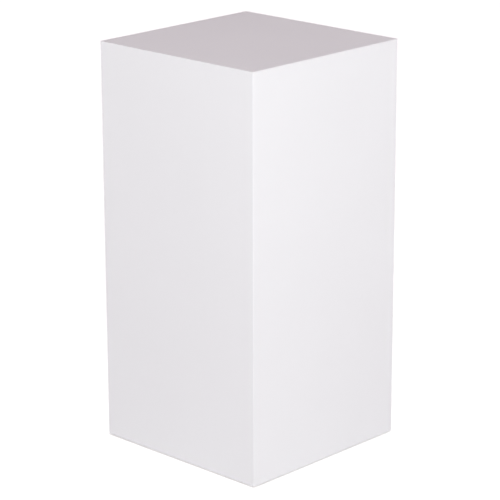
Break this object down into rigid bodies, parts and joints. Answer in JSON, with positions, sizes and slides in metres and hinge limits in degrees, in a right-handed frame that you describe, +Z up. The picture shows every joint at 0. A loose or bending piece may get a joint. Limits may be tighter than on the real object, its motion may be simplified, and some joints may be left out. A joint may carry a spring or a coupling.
{
  "type": "display pedestal",
  "caption": "Tall square white box pedestal with crisp mitred edges, a plain flat top, a recessed base and hidden screw-adjusted levelling feet.",
  "frame": {"origin": "on the floor under the middle of the box, with the feet wound fully in", "axes": "+Z up, -Y the front, +X to the right of someone who faces the front"},
  "size_m": [0.3, 0.3, 0.6],
  "materials": {
    "white_board": "satin white lacquer sprayed on medium-density fibreboard",
    "birch_plywood": "unfinished birch plywood",
    "softwood": "planed unfinished pine",
    "zinc_steel": "bright zinc plate",
    "black_nylon": "fine matt moulded nylon",
    "grey_rubber": "matt dark grey rubber"
  },
  "bodies": {
    "plinth": {"top_panel": "white_board", "front_panel": "white_board", "right_panel": "white_board", "back_panel": "white_board", "left_panel": "white_board", "corner_spline_front_left": "birch_plywood", "corner_spline_front_right": "birch_plywood", "corner_spline_back_left": "birch_plywood", "corner_spline_back_right": "birch_plywood", "top_spline_front": "birch_plywood", "top_spline_right": "birch_plywood", "top_spline_back": "birch_plywood", "top_spline_left": "birch_plywood", "corner_batten_front_left": "softwood", "corner_batten_front_right": "softwood", "corner_batten_back_left": "softwood", "corner_batten_back_right": "softwood", "top_cleat_front": "softwood", "top_cleat_right": "softwood", "top_cleat_back": "softwood", "top_cleat_left": "softwood", "bottom_cleat_front": "softwood", "bottom_cleat_right": "softwood", "bottom_cleat_back": "softwood", "bottom_cleat_left": "softwood", "base_panel": "birch_plywood", "base_screws": "zinc_steel", "bottom_cleat_screws": "zinc_steel", "top_cleat_screws": "zinc_steel", "tee_nuts": "zinc_steel"},
    "foot_front_left": {"foot_base_front_left": "black_nylon", "foot_pad_front_left": "grey_rubber"},
    "stem_front_left": {"levelling_stem_front_left": "zinc_steel"},
    "foot_front_right": {"foot_base_front_right": "black_nylon", "foot_pad_front_right": "grey_rubber"},
    "stem_front_right": {"levelling_stem_front_right": "zinc_steel"},
    "foot_back_left": {"foot_base_back_left": "black_nylon", "foot_pad_back_left": "grey_rubber"},
    "stem_back_left": {"levelling_stem_back_left": "zinc_steel"},
    "foot_back_right": {"foot_base_back_right": "black_nylon", "foot_pad_back_right": "grey_rubber"},
    "stem_back_right": {"levelling_stem_back_right": "zinc_steel"}
  },
  "joints": [
    {"name": "foot_travel_front_left", "type": "slide", "parent": "plinth", "child": "foot_front_left", "axis": [0, 0, -1], "range_m": [0, 0.015]},
    {"name": "stem_turn_front_left", "type": "hinge", "parent": "foot_front_left", "child": "stem_front_left", "pos_m": [-0.098, -0.098, 0.016], "axis": [0, 0, -1], "range_deg": [0, 4320]},
    {"name": "foot_travel_front_right", "type": "slide", "parent": "plinth", "child": "foot_front_right", "axis": [0, 0, -1], "range_m": [0, 0.015]},
    {"name": "stem_turn_front_right", "type": "hinge", "parent": "foot_front_right", "child": "stem_front_right", "pos_m": [0.098, -0.098, 0.016], "axis": [0, 0, -1], "range_deg": [0, 4320]},
    {"name": "foot_travel_back_left", "type": "slide", "parent": "plinth", "child": "foot_back_left", "axis": [0, 0, -1], "range_m": [0, 0.015]},
    {"name": "stem_turn_back_left", "type": "hinge", "parent": "foot_back_left", "child": "stem_back_left", "pos_m": [-0.098, 0.098, 0.016], "axis": [0, 0, -1], "range_deg": [0, 4320]},
    {"name": "foot_travel_back_right", "type": "slide", "parent": "plinth", "child": "foot_back_right", "axis": [0, 0, -1], "range_m": [0, 0.015]},
    {"name": "stem_turn_back_right", "type": "hinge", "parent": "foot_back_right", "child": "stem_back_right", "pos_m": [0.098, 0.098, 0.016], "axis": [0, 0, -1], "range_deg": [0, 4320]}
  ],
  "couplings": [
    {"joint": "stem_turn_front_left", "follows": "foot_travel_front_left", "rad_per_m": 5026.5},
    {"joint": "stem_turn_front_right", "follows": "foot_travel_front_right", "rad_per_m": 5026.5},
    {"joint": "stem_turn_back_left", "follows": "foot_travel_back_left", "rad_per_m": 5026.5},
    {"joint": "stem_turn_back_right", "follows": "foot_travel_back_right", "rad_per_m": 5026.5}
  ]
}
